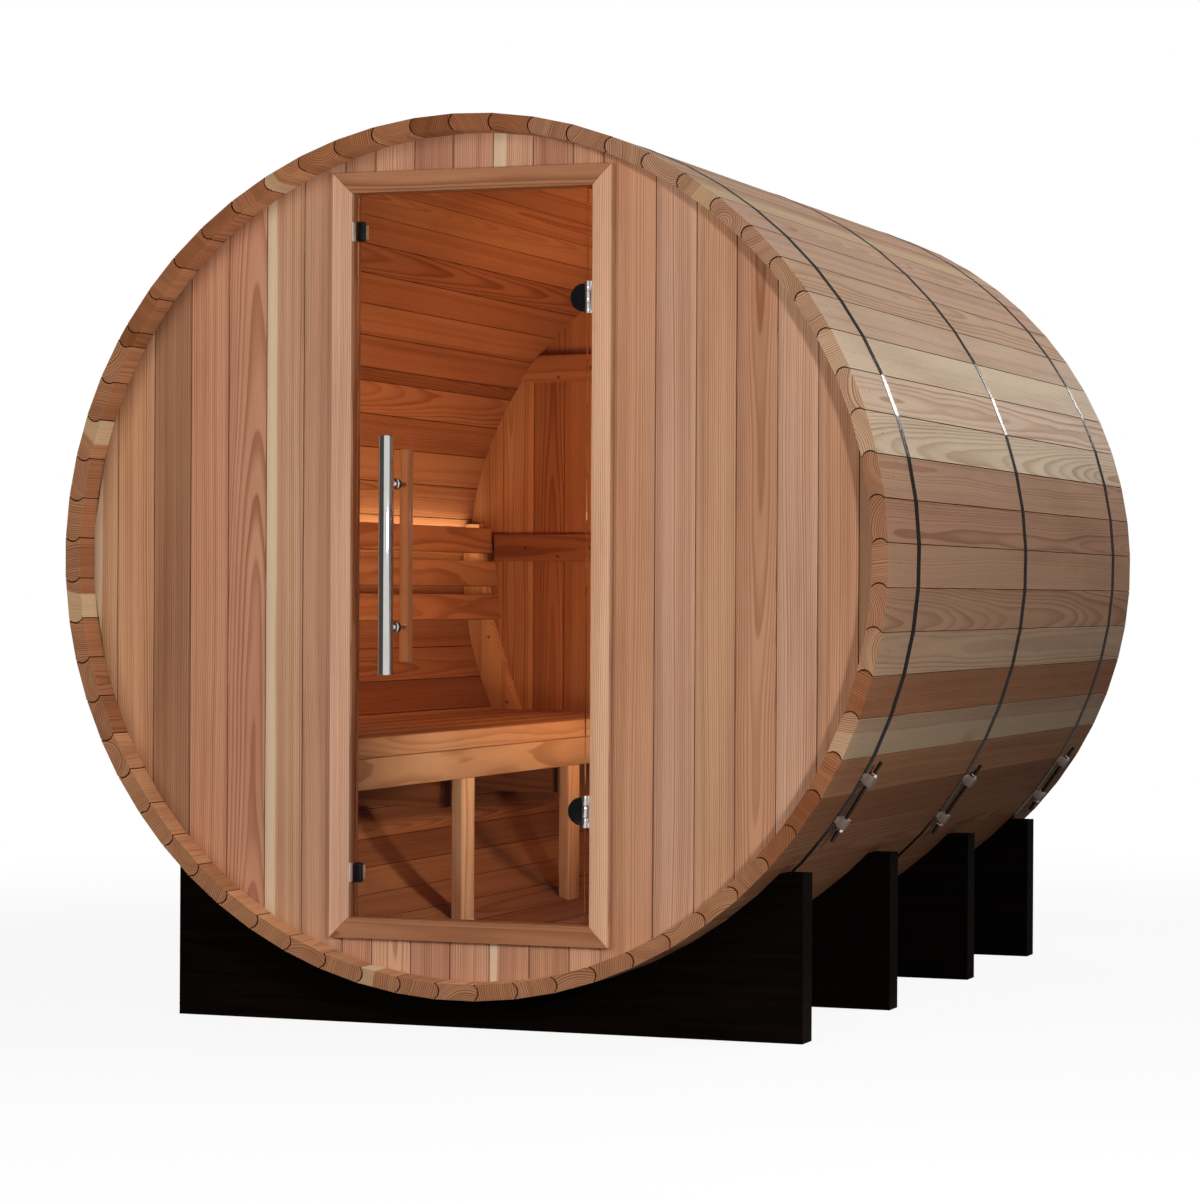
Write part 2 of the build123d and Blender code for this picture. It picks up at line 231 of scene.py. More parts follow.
def late_wood(tree, radius, number, spacing):
    """Dark late part of each growth ring, in rings of uneven width and strength."""
    uneven = ring_noise(tree, radius, 30.0, number, 0.0)
    count = calc(tree, "MULTIPLY_ADD", uneven, 5.0, calc(tree, "DIVIDE", radius, spacing))
    within = calc(tree, "FRACT", count)
    late = times(tree, ramp(tree, within, 0.3, 0.86), ramp(tree, within, 0.9, 1.0, 1.0, 0.0))
    strength = ring_noise(tree, radius, 120.0, number, 9.0)
    return times(tree, late, ramp(tree, strength, 0.25, 0.7, 0.45, 1.3))


# Tints of light and dark heartwood, and colours of knots and pale sapwood
light_tint = (1.13, 1.12, 1.09)
dark_tint = (0.62, 0.49, 0.42)
knot_tone = (62, 34, 20)
sapwood_tone = (206, 172, 136)
sapwood_dark = 0.76


def shaded(colour, shade):
    return tuple(c * k for c, k in zip(colour, shade)) + (1,)


def cedar(name, spacing=0.0042, contrast=0.5, shade=(1.0, 1.0, 1.0), gloss=0.6, relief=0.35,
          banding=0.3, shine=0.04, sapwood=sapwood_tone):
    """Sawn cedar: growth rings cut from a log, heartwood bands, pale sapwood, fibres and knots."""
    material, tree, shader, _ = new_material(name)
    place = split(tree, attribute(tree, "grain")["Vector"])
    seed = split(tree, attribute(tree, "seed")["Vector"])
    tone = attribute(tree, "tone")["Color"]
    sap_from = attribute(tree, "sap")["Fac"]
    number = seed[0]
    knot_near, knot_core = knots(tree, place, number)
    radius = calc(tree, "MULTIPLY_ADD", knot_near, 0.007, pith_distance(tree, place, seed))
    late = late_wood(tree, radius, number, spacing)
    bands = ring_noise(tree, radius, 55.0, number, 5.0, 2.0)
    cloud = noise(tree, scaled(tree, place, number, 1.4, 14.0), 3.0)
    fibre = noise(tree, scaled(tree, place, 0.0, 14.0, 420.0), 2.0, 0.6)
    streaks = plus(tree, times(tree, ramp(tree, bands, 0.42, 0.68), banding),
                   times(tree, ramp(tree, cloud, 0.4, 0.75), 0.28))
    darkness = plus(tree, times(tree, late, contrast), streaks)
    darkness = calc(tree, "ADD", darkness, swing(tree, fibre, 0.45), clamp=True)
    light = mix(tree, 1.0, tone, shaded(light_tint, shade), "MULTIPLY")
    dark = mix(tree, 1.0, tone, shaded(dark_tint, shade), "MULTIPLY")
    heart = mix(tree, darkness, light, dark)
    pale_dark = linear(*(sapwood_dark * c for c in sapwood))
    pale_tones = (shaded(linear(*sapwood), shade), shaded(pale_dark, shade))
    pale = mix(tree, times(tree, darkness, 0.5), *pale_tones)
    edge = plus(tree, sap_from, swing(tree, cloud, 0.012))
    body = mix(tree, ramp(tree, minus(tree, radius, edge), -0.002, 0.003), heart, pale)
    body = mix(tree, times(tree, knot_near, 0.4), body, dark)
    body = mix(tree, times(tree, knot_core, 0.85), body, shaded(linear(*knot_tone), shade))
    tree.links.new(body, shader.inputs["Base Color"])
    tree.links.new(calc(tree, "MULTIPLY_ADD", late, 0.14, gloss), shader.inputs["Roughness"])
    height = plus(tree, times(tree, late, 0.6), times(tree, fibre, 0.6))
    bump(tree, shader, height, relief, 0.0006)
    shader.inputs["Specular IOR Level"].default_value = shine
    return material


def object_coords(tree):
    return put(tree, "ShaderNodeTexCoord").outputs["Object"]


def stained_black(name):
    """Black-stained board on edge: grain along X still shows in its gloss and relief."""
    material, tree, shader, _ = new_material(name)
    place = object_coords(tree)
    stretched = vector_calc(tree, "MULTIPLY", place, (3.0, 60.0, 60.0))
    grain = noise(tree, stretched, 4.0, 0.6)
    cloud = noise(tree, vector_calc(tree, "MULTIPLY", place, (2.0, 5.0, 5.0)), 3.0)
    value = plus(tree, times(tree, grain, 0.6), times(tree, cloud, 0.4))
    colour = mix(tree, ramp(tree, value, 0.35, 0.7), (*linear(4, 3, 2), 1), (*linear(16, 9, 6), 1))
    tree.links.new(colour, shader.inputs["Base Color"])
    tree.links.new(ramp(tree, grain, 0.2, 0.8, 0.55, 0.8), shader.inputs["Roughness"])
    shader.inputs["Specular IOR Level"].default_value = 0.012
    bump(tree, shader, grain, 0.4, 0.0008)
    return material


def metal(name, colour, roughness, wear, streak=(40.0, 40.0, 40.0), metallic=1.0, relief=0.05,
          rim=(1.0, 1.0, 1.0)):
    """Metal with fine streaks, smudges and a little uneven tone; rim is its colour at a glance."""
    material, tree, shader, _ = new_material(name)
    place = object_coords(tree)
    fine = noise(tree, vector_calc(tree, "MULTIPLY", place, streak), 3.0, 0.6, 10.0)
    smudge = noise(tree, place, 4.0, 0.6, 18.0)
    worn = mix(tree, ramp(tree, smudge, 0.35, 0.7), (*colour, 1), shaded(colour, [1 - wear] * 3))
    uneven = ramp(tree, fine, 0.2, 0.8, roughness * 0.75, roughness * 1.3)
    tree.links.new(worn, shader.inputs["Base Color"])
    tree.links.new(uneven, shader.inputs["Roughness"])
    shader.inputs["Metallic"].default_value = metallic
    shader.inputs["Specular Tint"].default_value = (*rim, 1)
    bump(tree, shader, fine, relief, 0.0003)
    return material


def clear_glass(name):
    """Thin toughened glass, faintly bronze, that lets light through to the room."""
    material, tree, shader, output = new_material(name)
    place = object_coords(tree)
    haze = noise(tree, place, 3.0, 0.5, 9.0)
    shader.inputs["Base Color"].default_value = (*linear(250, 245, 238), 1)
    shader.inputs["Transmission Weight"].default_value = 1.0
    shader.inputs["IOR"].default_value = 1.3
    tree.links.new(ramp(tree, haze, 0.5, 0.8, 0.0, 0.012), shader.inputs["Roughness"])
    see_through = put(tree, "ShaderNodeBsdfTransparent", {"Color": (0.85, 0.79, 0.72, 1)})
    path = put(tree, "ShaderNodeLightPath").outputs
    passes = calc(tree, "MAXIMUM", path["Is Shadow Ray"], path["Is Diffuse Ray"])
    both = put(tree, "ShaderNodeMixShader", {0: passes, 1: shader.outputs[0], 2: see_through.outputs[0]})
    tree.links.new(both.outputs[0], output.inputs[0])
    return material


def glowing_strip(name):
    material, tree, shader, _ = new_material(name)
    dots = noise(tree, object_coords(tree), 1.0, 0.5, 60.0)
    colour = mix(tree, dots, (1.0, 0.72, 0.36, 1), (1.0, 0.84, 0.5, 1))
    tree.links.new(colour, shader.inputs["Base Color"])
    tree.links.new(colour, shader.inputs["Emission Color"])
    shader.inputs["Emission Strength"].default_value = 2.0
    shader.inputs["Roughness"].default_value = 0.5
    return material


materials = {
    "stave": cedar("stave cedar", contrast=0.42, shade=(1.0, 1.05, 1.1), relief=0.3, banding=0.2),
    "stave_end": cedar("stave end grain", contrast=1.25, shade=(0.76, 0.7, 0.65), gloss=0.75, relief=0.7,
                       shine=0.03),
    # Painted shade: a darkened copy of the cedar for faces deep in the joints and gaps, where shade
    # falls
    "joint": cedar("joint painted shade", contrast=0.4, shade=(0.22, 0.12, 0.08), gloss=0.8, shine=0.01),
    "lining": cedar("room side cedar", shade=(0.85, 0.76, 0.7), banding=0.35, sapwood=(184, 130, 92)),
    # Painted light: a brightened copy of the cedar for the staves' inner faces in front of and behind
    # the end walls
    "recess": cedar("recess cedar painted light", shade=(1.6, 1.75, 1.82)),
    "wall": cedar("wall board cedar", contrast=0.62, shade=(1.04, 1.12, 1.22), gloss=0.55, shine=0.05),
    "joinery": cedar("casing cedar", spacing=0.0036, contrast=0.6, shade=(1.04, 1.12, 1.2), gloss=0.5,
                     banding=0.25, shine=0.05),
    "inner": cedar("bench cedar", spacing=0.0046, gloss=0.55, banding=0.35, shine=0.08),
    "cradle": stained_black("black stain"),
    "chrome": metal("polished chrome", (0.66, 0.64, 0.62), 0.05, 0.06),
    "satin": metal("satin plate", linear(226, 204, 188), 0.5, 0.1, metallic=0.0),
    "cast": metal("cast zinc block", linear(134, 118, 104), 0.6, 0.25, metallic=0.15, relief=0.5),
    "band": metal("band steel", linear(52, 45, 41), 0.24, 0.3, streak=(0.5, 60.0, 0.5),
                  rim=(0.5, 0.5, 0.5)),
    "black": metal("black coated metal", (0.004, 0.004, 0.0045), 0.3, 0.2, metallic=0.0,
                   rim=(0.5, 0.5, 0.5)),
    "dark": metal("dark nail steel", (0.06, 0.035, 0.025), 0.6, 0.3, metallic=0.2),
    "glass": clear_glass("door glass"),
    "glow": glowing_strip("warm light strip"),
}


# Pieces

# Distance from the pith that no board reaches, so no sapwood
no_sap = 9.0

# Wood data of metal pieces, which don't use it
plain_tone = (0.5, 0.5, 0.5)


def in_scene(name, data):
    """New object in the scene."""
    item = bpy.data.objects.new(name, data)
    bpy.context.scene.collection.objects.link(item)
    return item


class Boards:
    """Vertices, faces and wood data of boards that are joined into one piece."""

    def __init__(self):
        self.verts = []
        self.faces = []
        self.slots = []
        self.grain = []
        self.seed = []
        self.tone = []
        self.sap = []

    def add(self, verts, faces, slots, grain, seed, tone, sap):
        start = len(self.verts)
        self.verts += verts
        self.faces += [tuple(start + i for i in f) for f in faces]
        self.slots += slots
        self.grain += grain
        self.seed += [seed] * len(verts)
        tones = tone if isinstance(tone, list) else [tone] * len(verts)
        self.tone += [(*t, 1.0) for t in tones]
        self.sap += [sap] * len(verts)

    def add_plain(self, verts, faces, slots):
        """Faces of metal, which needs no wood data."""
        self.add(verts, faces, slots, [(0, 0, 0)] * len(verts), (0, 0, 0), plain_tone, no_sap)

    def piece(self, name, palette, body="barrel", sharp=35, slot="staves"):
        """Object with its faces turned outwards, its materials and its body; its slot is not used."""
        mesh = bpy.data.meshes.new(name)
        mesh.from_pydata(self.verts, [], self.faces)
        mesh.polygons.foreach_set("material_index", self.slots)
        store(mesh, "grain", "FLOAT_VECTOR", "vector", self.grain)
        store(mesh, "seed", "FLOAT_VECTOR", "vector", self.seed)
        store(mesh, "tone", "FLOAT_COLOR", "color", self.tone)
        store(mesh, "sap", "FLOAT", "value", self.sap)
        tidy = bmesh.new()
        tidy.from_mesh(mesh)
        bmesh.ops.recalc_face_normals(tidy, faces=tidy.faces)
        tidy.to_mesh(mesh)
        tidy.free()
        for key in palette:
            mesh.materials.append(materials[key])
        mesh.polygons.foreach_set("use_smooth", [True] * len(mesh.polygons))
        mesh.set_sharp_from_angle(angle=math.radians(sharp))
        piece = in_scene(name, mesh)
        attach(piece, body)
        return piece


def store(mesh, name, kind, field, values):
    """Per-vertex data that the wood materials read."""
    data = mesh.attributes.new(name, kind, "POINT")
    flat = [c for v in values for c in v] if kind != "FLOAT" else list(values)
    data.data.foreach_set(field, flat)


def loft(sections, caps=True):
    """Vertices, then faces between closed sections of equal point count, and the two end caps."""
    count = len(sections[0])
    verts = [p for s in sections for p in s]
    faces = []
    for k in range(len(sections) - 1):
        for i in range(count):
            j = (i + 1) % count
            faces.append((k * count + i, k * count + j, (k + 1) * count + j, (k + 1) * count + i))
    if caps:
        last = (len(sections) - 1) * count
        faces += [tuple(range(count)), tuple(range(last, last + count))]
    return verts, faces


# Tones of the staves: one letter for each stave, clockwise from the narrow closing strip
cedar_tones = {"d": (146, 96, 66), "r": (162, 110, 78), "m": (174, 122, 88), "l": (186, 134, 98),
               "b": (168, 124, 98), "n": (176, 134, 106), "g": (186, 150, 122), "p": (190, 154, 130),
               "q": (200, 168, 142), "s": (206, 180, 152)}
stave_kinds = "rmrrmlmmldrrnngpgppgqsqsnbnngrgmdrrmlmrmlmlrmmlllrlllldrrrrrrmrm"
sappy_staves = (5, 16, 30, 44, 57, 61)
closing_tone = (140, 92, 60)
tone_spread = 0.04
flat_sawn_share = 0.4

# The end grain is paler than the sides from this stave on
first_pale_end = 34
pale_end_tone = (184, 142, 112)
pale_end_share = 0.6

# Staves are cut unevenly by up to this length, and their ends are eased
end_unevenness = 0.0012
end_ease = 0.0012
end_shrink = 0.9755
joint_steps = 9

# Their inner faces change material this far inside the end walls
wall_cover = 0.01


def joint_curve(angle, shift):
    """Rounded joint between two staves, from the outside in, moved sideways by a shift."""
    outer = barrel_radius - notch_depth
    inner = inner_radius + notch_depth
    chord = outer - inner
    arc_radius = (chord * chord / 4 + bead_depth * bead_depth) / (2 * bead_depth)
    points = []
    for i in range(joint_steps + 1):
        offset = (i / joint_steps - 0.5) * chord
        bulge = math.sqrt(arc_radius ** 2 - offset ** 2) - (arc_radius - bead_depth)
        place = outwards(angle) * (outer - chord * i / joint_steps)
        points.append(place + clockwise(angle) * (shift - bulge))
    return points


def stave_section(low, high):
    """Outline of one stave across the barrel, with a bead on one edge and a cove on the other."""
    bead = joint_curve(low, joint_gap / 2)
    cove = joint_curve(high, -joint_gap / 2)
    notch = clockwise((low + high) / 2) * notch_width
    outline = [outwards(low) * inner_radius + notch] + bead[::-1]
    outline += [outwards(low) * barrel_radius + notch, outwards(high) * barrel_radius - notch]
    return outline + cove + [outwards(high) * inner_radius - notch]


# Faces of a stave's outline that lie in a joint, which get painted shade, and its materials
joint_sides = (*range(joint_steps + 1), *range(joint_steps + 3, 2 * joint_steps + 5))
stave_palette = ("stave", "stave_end", "joint", "lining", "recess")


def stave_slots(count):
    """Materials of a stave's faces: faces in its joints get painted shade, and its inner face is room
    side between the end walls and has painted light outside them.
    """
    ring = [2 if k in joint_sides else 0 for k in range(count - 1)]
    recess, room = ring + [4], ring + [3]
    return recess * 2 + room + recess * 2 + [1, 1]


def stave_pith(rng, flat_sawn):
    """Where the log's pith lay beside a stave, across and outwards."""
    if flat_sawn:
        return rng.uniform(-0.03, 0.03), rng.choice((-1, 1)) * rng.uniform(0.03, 0.09)
    return rng.choice((-1, 1)) * rng.uniform(0.09, 0.22), rng.uniform(-0.04, 0.04)


def add_stave(boards, low_deg, high_deg, tone, end_tone, rng, flat_sawn, sappy=False):
    low, high = math.radians(low_deg), math.radians(high_deg)
    outline = stave_section(low, high)
    middle = sum(outline, Vector()) / len(outline)
    out = middle.normalized()
    along = clockwise((low + high) / 2)
    front = barrel_front + rng.uniform(0, end_unevenness)
    back = barrel_back - rng.uniform(0, end_unevenness)
    places = [(front, end_shrink), (front + end_ease, 1.0), (wall_front + wall_cover, 1.0),
              (rear_wall_back - wall_cover, 1.0), (back - end_ease, 1.0), (back, end_shrink)]
    sections = [[on_axis(y) + middle + (p - middle) * shrink for p in outline] for y, shrink in places]
    verts, faces = loft(sections)
    grain = []
    for p in verts:
        local = p - on_axis(0)
        grain.append((p.y, local.dot(along), local.dot(out) - middle.length))
    pith = stave_pith(rng, flat_sawn)
    seed = (rng.uniform(0, 90), *pith)
    sap = math.hypot(*pith) + rng.uniform(-0.01, 0.01) if sappy else no_sap
    count = len(outline)
    tones = [end_tone] * count + [tone] * (len(verts) - 2 * count) + [end_tone] * count
    boards.add([tuple(p) for p in verts], faces, stave_slots(count), grain, seed, tones, sap)


def blend(a, b, share):
    return tuple(p + (q - p) * share for p, q in zip(a, b))


def make_staves():
    rng = random.Random(11)
    for group in range(stave_count // staves_per_group):
        boards = Boards()
        for i in range(group * staves_per_group, (group + 1) * staves_per_group):
            low = first_joint_deg + i * stave_pitch_deg
            flat_sawn = rng.random() < flat_sawn_share
            level = rng.uniform(1 - tone_spread, 1 + tone_spread)
            tone = tuple(c * level for c in linear(*cedar_tones[stave_kinds[i]]))
            share = pale_end_share if i >= first_pale_end else 0.0
            end_tone = blend(tone, linear(*pale_end_tone), share)
            sappy = i in sappy_staves
            add_stave(boards, low, low + stave_pitch_deg, tone, end_tone, rng, flat_sawn, sappy)
        piece = boards.piece(f"staves_{group + 1:02d}", stave_palette)
        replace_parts(piece, f"stave_group_{group + 1:02d}")
    boards = Boards()
    low = first_joint_deg + stave_count * stave_pitch_deg
    tone = linear(*closing_tone)
    add_stave(boards, low, first_joint_deg + 360, tone, tone, rng, True)
    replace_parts(boards.piece("closing_strip", stave_palette), "closing_stave")


def ring_height(x):
    """Half the height of the room at a distance from its middle, by the staves' inner faces."""
    return math.sqrt(max(inner_radius ** 2 * math.cos(half_pitch / 2) ** 2 - x * x, 1e-6))


# Wall boards: gaps and eased edges, and the strips that close the joints as their tongues do; the edge
# faces in the gaps and the strips get painted shade
board_gap = 0.0006
board_ease = 0.0016
board_facet = 0.02
ease_place = 0.6
ease_dip = 0.28
tongue_half_width = 0.0012
tongue_half_depth = 0.004
tongue_shortfall = 0.001
tongue_tone = (176, 128, 98)
tongue_seed = (0.0, 0.2, 0.0)


def board_ends(x, low, high):
    """Heights of a wall's lower and upper edges at x: the barrel's curve where no height is given."""
    return (centre_height - ring_height(x) if low is None else low,
            centre_height + ring_height(x) if high is None else high)


def wall_board(boards, left, right, low, high, y_front, y_back, tone, seed, sap=no_sap, both=False):
    """Upright board with eased front edges, and eased back edges if both faces show."""
    start, end = left + board_gap, right - board_gap
    body = max(2, int((right - left) / board_facet))
    span = end - start - 2 * board_ease
    xs = [start, start + board_ease * ease_place, start + board_ease]
    xs += [start + board_ease + span * i / body for i in range(1, body)]
    xs += [end - board_ease, end - board_ease * ease_place, end]
    edge_dips = [board_ease, board_ease * ease_dip, 0.0]
    dips = edge_dips + [0.0] * (body - 1) + edge_dips[::-1]
    back_dips = dips if both else [0.0] * len(xs)
    loops = []
    for z in zip(*(board_ends(x, low, high) for x in xs)):
        front = [(x, y_front + d, h) for x, d, h in zip(xs, dips, z)]
        back = [(x, y_back - d, h) for x, d, h in zip(xs, back_dips, z)]
        loops.append(front + back[::-1])
    verts, faces = loft(loops, caps=False)
    half = len(xs)
    count = 2 * half
    for base in (0, count):
        for i in range(half - 1):
            far = base + count - 1 - i
            faces.append((base + i, base + i + 1, far - 1, far))
    middle = (left + right) / 2
    grain = [(p[2], p[0] - middle, p[1] - y_front) for p in verts]
    # Painted shade on the board's two edge faces, which lie in the gaps
    slots = [1 if i in (half - 1, count - 1) else 0 for i in range(len(faces))]
    boards.add(verts, faces, slots, grain, seed, linear(*tone), sap)


def add_tongue(boards, x, low, high, middle):
    """Strip that closes the joint between two wall boards, with painted shade on all its faces."""
    width, depth = tongue_half_width, tongue_half_depth
    bottom, top = board_ends(x, low, high)
    corners = [(x - width, middle - depth), (x + width, middle - depth), (x + width, middle + depth),
               (x - width, middle + depth)]
    heights = (bottom + tongue_shortfall, top - tongue_shortfall)
    verts, faces = loft([[(a, b, z) for a, b in corners] for z in heights])
    grain = [(v[2], v[0] - x, v[1] - middle) for v in verts]
    boards.add(verts, faces, [1] * len(faces), grain, tongue_seed, linear(*tongue_tone), no_sap)


# Front wall boards: the joints across the wall, then a tone and a cut for each board
left_joints = [-0.8805, -0.822, -0.735, -0.648, -0.559, -0.4705, -0.384]
left_tones = [(182, 135, 98), (181, 130, 94), (148, 103, 74), (181, 126, 95), (175, 121, 92),
              (182, 137, 105), (174, 128, 99)]
left_cuts = ["sap", "straight", "straight", "straight", "cathedral", "sap", "straight"]
right_joints = [0.403, 0.491, 0.577, 0.664, 0.750, 0.836, 0.8805]
right_tones = [(180, 130, 98), (180, 136, 108), (178, 132, 100), (168, 120, 90), (184, 142, 114),
               (171, 125, 95), (160, 118, 88)]
right_cuts = ["straight", "straight", "straight", "cathedral", "straight", "straight", "straight"]
middle_tones = [(170, 122, 92), (182, 134, 104), (164, 114, 88), (176, 126, 98), (186, 140, 108),
                (168, 118, 90), (178, 130, 100), (172, 122, 94)]

# Boards over and under the door, and of the back wall: one joint, and the width of a board
middle_joint = 0.0445
middle_pitch = 0.0885
middle_cuts = ["straight", "cathedral", "straight", "straight", "sap", "straight"]
rear_joint = 0.013
rear_pitch = 0.088
least_rear_board = 0.03
rear_tones = [(176, 116, 76), (188, 132, 90), (168, 108, 70), (182, 124, 84), (160, 102, 66)]
rear_cuts = ["straight", "cathedral", "cathedral", "straight", "cathedral", "straight", "cathedral"]


def cut_seed(rng, cut):
    """Number of a board, and where the log's pith lay beside it for the way that it was cut."""
    number = rng.uniform(0, 90)
    if cut == "cathedral":
        return number, rng.uniform(-0.02, 0.02), rng.choice((-1, 1)) * rng.uniform(0.035, 0.06)
    return number, rng.choice((-1, 1)) * rng.uniform(0.16, 0.34), rng.uniform(-0.05, 0.05)


def cut_sap(rng, cut, seed):
    """Distance from the pith at which a board's sapwood starts."""
    return abs(seed[1]) + rng.uniform(0.0, 0.03) if cut == "sap" else no_sap


def board_edges(half, joint, pitch, least=0.0):
    """Places of a wall's board edges from side to side, the outer boards no narrower than the least."""
    joints = [joint + pitch * k for k in range(-12, 12)]
    return [-half] + [x for x in joints if abs(x) < half - least] + [half]


def wall_piece(name, node, edges, low, high, tones, cuts, y_range, seed_number, both=False, wood="wall"):
    rng = random.Random(seed_number)
    boards = Boards()
    for i, (a, b) in enumerate(zip(edges, edges[1:])):
        cut = cuts[i % len(cuts)]
        seed = cut_seed(rng, cut)
        wall_board(boards, a, b, low, high, *y_range, tones[i % len(tones)], seed,
                   cut_sap(rng, cut, seed), both)
    for x in edges[1:-1]:
        add_tongue(boards, x, low, high, sum(y_range) / 2)
    piece = boards.piece(name, (wood, "joint"), slot="wall_boards")
    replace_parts(piece, node)


def make_walls():
    front = (wall_front, wall_back)
    wall_piece("front_boards_left", "front_wall_left", left_joints + [-lining_half], None, None,
               left_tones, left_cuts, front, 21)
    wall_piece("front_boards_right", "front_wall_right", [lining_half] + right_joints, None, None,
               right_tones, right_cuts, front, 22)
    edges = board_edges(lining_half, middle_joint, middle_pitch)
    wall_piece("front_boards_over_door", "front_wall_over_door", edges, lining_high, None,
               middle_tones, middle_cuts, front, 23)
    wall_piece("front_boards_under_door", "front_wall_under_door", edges, None, lining_low,
               middle_tones[3:] + middle_tones[:3], middle_cuts, front, 24)
    edges = board_edges(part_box("back_wall")[1][0], rear_joint, rear_pitch, least_rear_board)
    wall_piece("back_boards", "back_wall", edges, None, None, rear_tones, rear_cuts,
               (rear_wall_front, rear_wall_back), 32, True, "inner")


def solids(node):
    """Separate solids of one of the frame's nodes, without doubled corners and needless edges."""
    source = bmesh.new()
    source.from_mesh(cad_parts[node].data)
    bmesh.ops.remove_doubles(source, verts=source.verts, dist=1e-6)
    bmesh.ops.dissolve_limit(source, angle_limit=math.radians(0.5), verts=source.verts,
                             edges=source.edges)
    found = islands(source)
    source.free()
    return found


def dress(node, name, wood, axis, tones, seed_number, bevel, slot="inner_wood", lean=0.0):
    """Wooden piece in a node's place: its boards get eased edges and their own tones and grain."""
    rng = random.Random(seed_number)
    boards = Boards()
    turn = Matrix.Rotation(lean, 3, "Y")
    order = {"X": (0, 1, 2), "Y": (1, 0, 2), "Z": (2, 0, 1)}[axis]
    for number, island in enumerate(solids(node)):
        verts, faces = eased(island, bevel)
        middle = sum((Vector(v) for v in verts), Vector()) / len(verts)
        places = [turn @ (Vector(v) - middle) for v in verts]
        grain = [tuple(place[k] for k in order) for place in places]
        tone = linear(*tones[number % len(tones)])
        boards.add(verts, faces, [0] * len(faces), grain, cut_seed(rng, "straight"), tone, no_sap)
    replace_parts(boards.piece(name, (wood,), "barrel", 30, slot), node)


def islands(source):
    """Vertex and face lists of each separate solid in a mesh, in order along X, Y and Z."""
    reached = set()
    found = []
    for start in source.verts:
        if start in reached:
            continue
        group = [start]
        reached.add(start)
        for vert in group:
            near = [v for edge in vert.link_edges for v in edge.verts if v not in reached]
            group += near
            reached.update(near)
        index = {v: i for i, v in enumerate(group)}
        faces = dict.fromkeys(f for v in group for f in v.link_faces)
        found.append(([tuple(v.co) for v in group], [[index[v] for v in f.verts] for f in faces]))
    found.sort(key=lambda item: tuple(round(min(v[k] for v in item[0]), 3) for k in range(3)))
    return found


def eased(island, width):
    """The same solid with its sharp edges rounded over."""
    shape = bmesh.new()
    verts = [shape.verts.new(v) for v in island[0]]
    for face in island[1]:
        shape.faces.new([verts[i] for i in face])
    bmesh.ops.recalc_face_normals(shape, faces=shape.faces)
    corner = math.radians(25)
    edges = [e for e in shape.edges if len(e.link_faces) == 2 and e.calc_face_angle(0) > corner]
    bmesh.ops.bevel(shape, geom=edges, offset=width, segments=2, profile=0.5, affect="EDGES",
                    clamp_overlap=True)
    shape.verts.index_update()
    result = ([tuple(v.co) for v in shape.verts], [tuple(v.index for v in f.verts) for f in shape.faces])
    shape.free()
    return result


def make_joinery():
    uprights = [(202, 154, 124), (206, 158, 126)]
    # Painted shade: the rails are toned darker than the uprights, for how the light falls on them
    rails = [(156, 104, 72), (160, 108, 76)]
    lining = [(170, 112, 76)]
    dress("casing_sides", "casing_uprights", "joinery", "Z", uprights, 41, 0.0012, "joinery")
    dress("casing_top_and_bottom", "casing_rails", "joinery", "X", rails, 42, 0.0012, "joinery")
    dress("door_jambs", "jambs", "joinery", "Z", lining, 43, 0.001, "joinery")
    dress("door_head_and_sill", "head_and_sill", "joinery", "X", lining, 44, 0.001, "joinery")


def make_bench_and_backrest():
    planks = [(198, 156, 120), (194, 150, 114), (200, 158, 122)]
    # Painted light: the legs' tones are raised far paler than the bench boards, standing in for light
    # that doesn't reach them
    legs = [(234, 202, 168), (220, 176, 138)]
    slats = [(180, 124, 86), (188, 136, 98), (178, 122, 84)]
    battens = [(168, 108, 68), (190, 130, 88)]
    dress("bench_planks", "bench_boards", "inner", "Y", planks, 51, 0.004)
    dress("bench_apron", "bench_front_board", "inner", "Y", [(192, 154, 121)], 52, 0.004)
    dress("bench_legs", "bench_uprights", "inner", "Z", legs, 53, 0.002)
    dress("bench_joists", "bench_bearers", "inner", "X", [(128, 80, 50)], 54, 0.002)
    dress("backrest_slats", "backrest_boards", "inner", "Y", slats, 55, 0.003, lean=math.radians(7))
    dress("backrest_supports", "backrest_ends", "inner", "Z", [(204, 148, 106)], 56, 0.002)
    dress("back_wall_battens", "cross_battens", "inner", "X", battens, 57, 0.002)


# Axes of turned pieces, along the piece and then two across it
rightwards = Vector((1, 0, 0))
inwards = Vector((0, 1, 0))
upwards = Vector((0, 0, 1))
upright_axes = (upwards, rightwards, inwards)
stud_axes = (inwards, upwards, rightwards)


def lathe(boards, centre, profile, axes, slot=0, turns=40, seed=(3.0, 0.05, 0.1), tone=plain_tone):
    """Turned piece: a profile of (distance along the axis, radius) pairs swept round the axis."""
    lengthwise, a, b = axes
    sections = []
    grain = []
    for distance, radius in profile:
        ring = []
        for i in range(turns):
            angle = 2 * math.pi * i / turns
            side = a * (radius * math.cos(angle)) + b * (radius * math.sin(angle))
            ring.append(tuple(Vector(centre) + lengthwise * distance + side))
            grain.append((distance, side.dot(a), side.dot(b)))
        sections.append(ring)
    verts, faces = loft(sections)
    boards.add(verts, faces, [slot] * len(faces), grain, seed, tone, no_sap)


def rounded_bar(length, radius, ease):
    """Profile of a bar with its ends rounded over."""
    steps = 4
    half = length / 2
    start = [(-half + ease * (1 - math.sin(a)), radius - ease * (1 - math.cos(a)))
             for a in (math.pi / 2 * k / steps for k in range(steps, -1, -1))]
    return start + [(-d, r) for d, r in reversed(start)]


